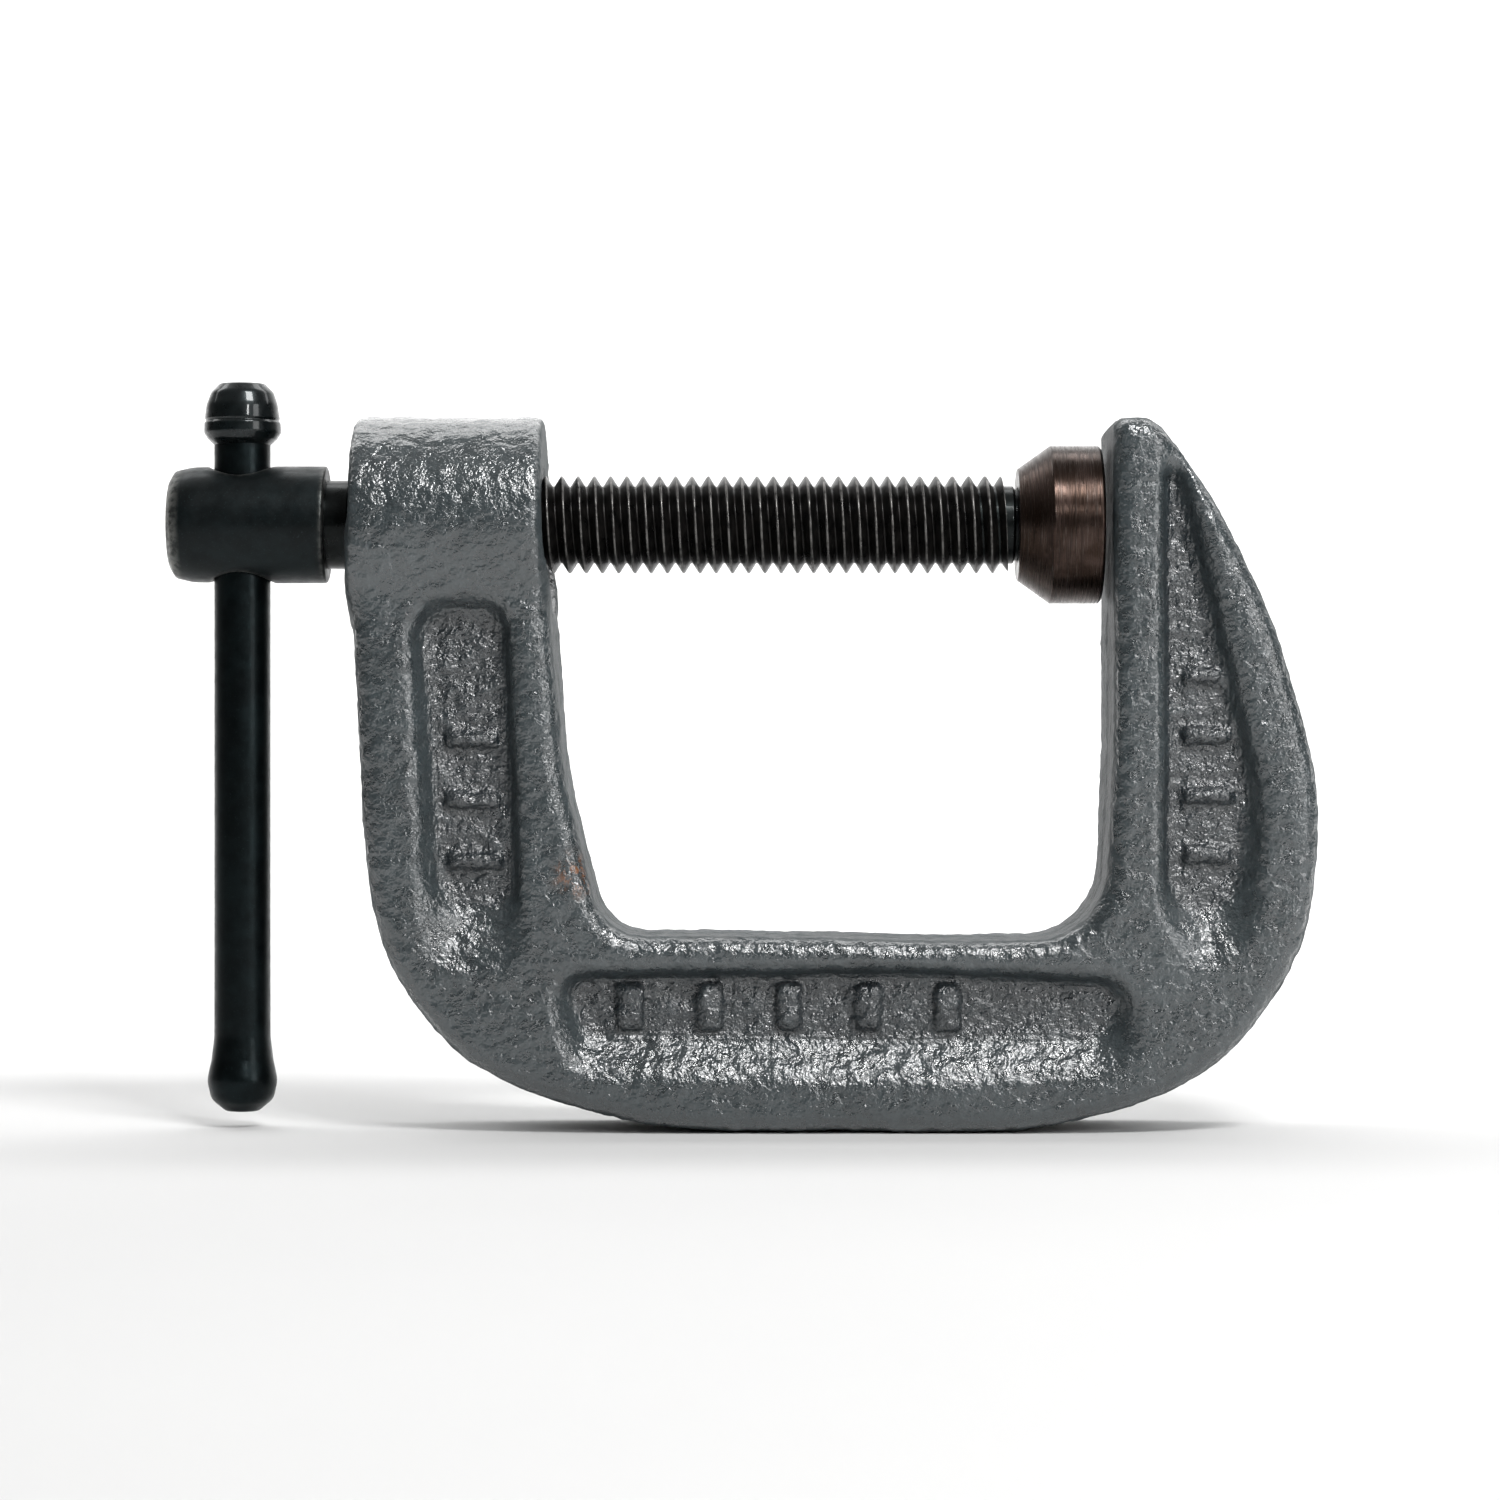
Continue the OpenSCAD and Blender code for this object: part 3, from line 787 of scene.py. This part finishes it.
class CLAMP_OT_bar(bpy.types.Operator):
    """Make the tommy bar and its pressed-on knob"""

    bl_idname = "clamp.bar"
    bl_label = "Tommy bar and knob"

    def execute(self, context):
        low, top, foot = BAR_LOW[2], KNOB_HIGH[2], KNOB_LOW[2]
        r = BAR_RADIUS
        f, k = (BAR_HIGH[0] - BAR_LOW[0]) / 2, (KNOB_HIGH[0] - KNOB_LOW[0]) / 2
        bar = turned_object("tommy_bar", held_profile([
            (low, 0, 0), (low, 1.0, 0.5), (low + 0.75, f - 0.25, 0.9), (low + 1.9, f, 1.6),
            (low + 3.2, r + 0.16, 2.2), (low + 4.6, r, 3), (foot + 0.1, r, 0.05), (foot + 0.1, 1.3, 0.05),
            (foot + 2.4, 1.3, 0.1), (foot + 2.4, 0, 0)]),
            2, (BAR_X, 0, 0), 96, lambda a, t: 0.006 * np.cos(2 * t + a) * (a < low + 4))
        knob = turned_object("bar_knob", held_profile([
            (foot, 0, 0), (foot, r - 0.02, 0.1), (foot + 0.35, k - 0.25, 0.3), (foot + 0.75, k, 0.4),
            (foot + 1.35, k - 0.02, 0.18), (foot + 1.5, k - 0.14, 0.05), (foot + 1.62, k - 0.06, 0.1),
            (foot + 2.5, k - 0.16, 1.5),
            (top - 0.55, k - 0.42, 0.6), (top - 0.03, k - 0.95, 0.2), (top, 0, 0)]),
            2, (BAR_X, 0, 0), 96,
            lambda a, t: 0.008 * np.sin(2 * t + 1.3 * a) + 0.006 * np.sin(3 * t - 2 * a))
        tone = context.scene.clamp.oxide
        bar.data.materials.append(black_oxide("oxide_bar", tone, 0.3, 0.44, 0.03, 0.5, 0.85))
        knob.data.materials.append(black_oxide("oxide_knob", tone, 0.24, 0.4, 0.45, 0.6, 0.6))
        for piece, node, name in ((bar, "handle_bar", "bar_black"), (knob, "handle_knob", "knob_black")):
            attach(piece, "handle")
            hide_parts(node)
        return {"FINISHED"}


class CLAMP_OT_pad(bpy.types.Operator):
    """Make the turned swivel pad and finish its snap ring"""

    bl_idname = "clamp.pad"
    bl_label = "Swivel pad"

    def execute(self, context):
        back, front, r = PAD_LOW[0], PAD_HIGH[0], PAD_HIGH[1]
        ring_x = (RING_LOW[0] + RING_HIGH[0]) / 2
        profile = held_profile([
            (front - 1.3, 0, 0), (front - 1.3, 2.35, 0.1),
            (ring_x + 0.5, 2.35, 0.05), (ring_x + 0.5, 2.7, 0.05),
            (ring_x - 0.5, 2.7, 0.05), (ring_x - 0.5, 2.35, 0.05), (back, 2.35, 0.08), (back, 3.42, 0.1),
            (back + 2.0, r, 0.12), (front - 0.16, r, 0.08), (front, r - 0.2, 0.08), (front, 0, 0)])
        points, faces = turned(profile, 0, around=128)
        piece = make_object("pad", points, faces)
        piece.data.materials.append(turned_steel())
        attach(piece, "pad")
        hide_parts("swivel_pad")
        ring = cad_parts["pad_snap_ring"]
        wire = spring_wire()
        if not ring.material_slots:
            ring.data.materials.append(wire)
        for place in ring.material_slots:
            place.material = wire
        return {"FINISHED"}


# The middle of the clamp, and the lights: name, place, target, size and brightness beside the key.
AIM = (-18, 0, -14)
LIGHTS = (
    ("key", (60, -180, 215), AIM, (98, 66), 1.0),
    ("fill", (210, -230, 60), AIM, (110, 150), 0.17),
    ("spark", (50, -260, 95), AIM, (28, 28), 1.2),
    ("backdrop", (0, 240, 385), (0, 640, 5), (1200, 500), 0.115),
)
CAMERA_PLACE = (-21.97, -261.5, -13.85)
# The sweep: where its bend starts, the bend's radius, its front and top ends and its half width.
SWEEP_BEND = 300
SWEEP_RADIUS = 260
SWEEP_FRONT = -900
SWEEP_TOP = 900
SWEEP_HALF = 1400


def area_light(name, place, target, size, glow):
    """A rectangular light whose face is glow times as bright as white."""
    data = bpy.data.lights.new(name, "AREA")
    data.shape = "RECTANGLE"
    data.size, data.size_y = size[0] * MM, size[1] * MM
    data.energy = math.pi * data.size * data.size_y * glow
    lamp = bpy.data.objects.new(name, data)
    lamp.location = Vector(place) * MM
    lamp.rotation_euler = (Vector(target) * MM - lamp.location).to_track_quat("-Z", "Y").to_euler()
    bpy.context.scene.collection.objects.link(lamp)


class CLAMP_OT_stage(bpy.types.Operator):
    """Set the pale floor, the soft studio light and the camera"""

    bl_idname = "clamp.stage"
    bl_label = "Stage"

    def execute(self, context):
        scene = context.scene
        floor_z = FRAME_LOW[2] - 0.06
        bend = [
            (SWEEP_BEND + SWEEP_RADIUS * math.sin(t), SWEEP_RADIUS - SWEEP_RADIUS * math.cos(t))
            for t in np.linspace(0.1, math.pi / 2, 14)
        ]
        profile = [(SWEEP_FRONT, 0), (SWEEP_BEND, 0)] + bend + [(SWEEP_BEND + SWEEP_RADIUS, SWEEP_TOP)]
        points = [(x, y, floor_z + z) for y, z in profile for x in (-SWEEP_HALF, SWEEP_HALF)]
        faces = [(2 * i, 2 * i + 1, 2 * i + 3, 2 * i + 2) for i in range(len(profile) - 1)]
        sweep = make_object("pale_sweep", points, faces)
        s = Shader("pale_paper")
        tone = s.noise(0.02, 2, 0.5)
        s.set(Base_Color=s.mix(tone, (0.70, 0.70, 0.70, 1), (0.74, 0.74, 0.735, 1)), Roughness=0.9)
        sweep.data.materials.append(s.material)
        world = bpy.data.worlds.new("soft_room")
        world.use_nodes = True
        tree = world.node_tree
        where = tree.nodes.new("ShaderNodeTexCoord")
        parts = tree.nodes.new("ShaderNodeSeparateXYZ")
        glow = tree.nodes.new("ShaderNodeMapRange")
        glow.interpolation_type = "SMOOTHSTEP"
        for key, number in (("From Min", 0.1), ("From Max", 0.9), ("To Min", 0.03), ("To Max", 0.32)):
            glow.inputs[key].default_value = number
        tree.links.new(where.outputs["Generated"], parts.inputs[0])
        tree.links.new(parts.outputs["Z"], glow.inputs["Value"])
        tree.links.new(glow.outputs["Result"], tree.nodes["Background"].inputs["Strength"])
        tree.nodes["Background"].inputs["Color"].default_value = (1, 1, 1, 1)
        scene.world = world
        key = scene.clamp.key_light
        for name, place, target, size, share in LIGHTS:
            area_light(name, place, target, size, share * key)
        scene.view_settings.view_transform = "Standard"
        camera = bpy.data.objects.new("camera", bpy.data.cameras.new("camera"))
        camera.data.lens, camera.data.sensor_width = 102.0, 36.0
        camera.data.clip_start, camera.data.clip_end = 0.005, 10.0
        camera.location = Vector(CAMERA_PLACE) * MM
        camera.rotation_euler = (math.pi / 2, 0, 0)
        scene.collection.objects.link(camera)
        scene.camera = camera
        return {"FINISHED"}


STEPS = ("stage", "casting", "screw", "head", "bar", "pad")


class CLAMP_PT_panel(bpy.types.Panel):
    """The clamp's settings and its pieces"""

    bl_idname = "CLAMP_PT_panel"
    bl_label = "C clamp"
    bl_space_type = "VIEW_3D"
    bl_region_type = "UI"
    bl_category = "C clamp"

    def draw(self, context):
        for key in ClampSettings.__annotations__:
            self.layout.prop(context.scene.clamp, key)
        for step in STEPS:
            self.layout.operator("clamp." + step)


CLASSES = (
    ClampSettings,
    CLAMP_OT_stage,
    CLAMP_OT_casting,
    CLAMP_OT_screw,
    CLAMP_OT_head,
    CLAMP_OT_bar,
    CLAMP_OT_pad,
    CLAMP_PT_panel,
)


def register():
    """Make the settings, operators and panel known to Blender."""
    for cls in CLASSES:
        bpy.utils.register_class(cls)
    bpy.types.Scene.clamp = bpy.props.PointerProperty(type=ClampSettings)


def unregister():
    """Take the settings, operators and panel away again."""
    del bpy.types.Scene.clamp
    for cls in reversed(CLASSES):
        bpy.utils.unregister_class(cls)


def main():
    """Run every step in order."""
    register()
    for step in STEPS:
        getattr(bpy.ops.clamp, step)()


if __name__ == "__main__":
    main()
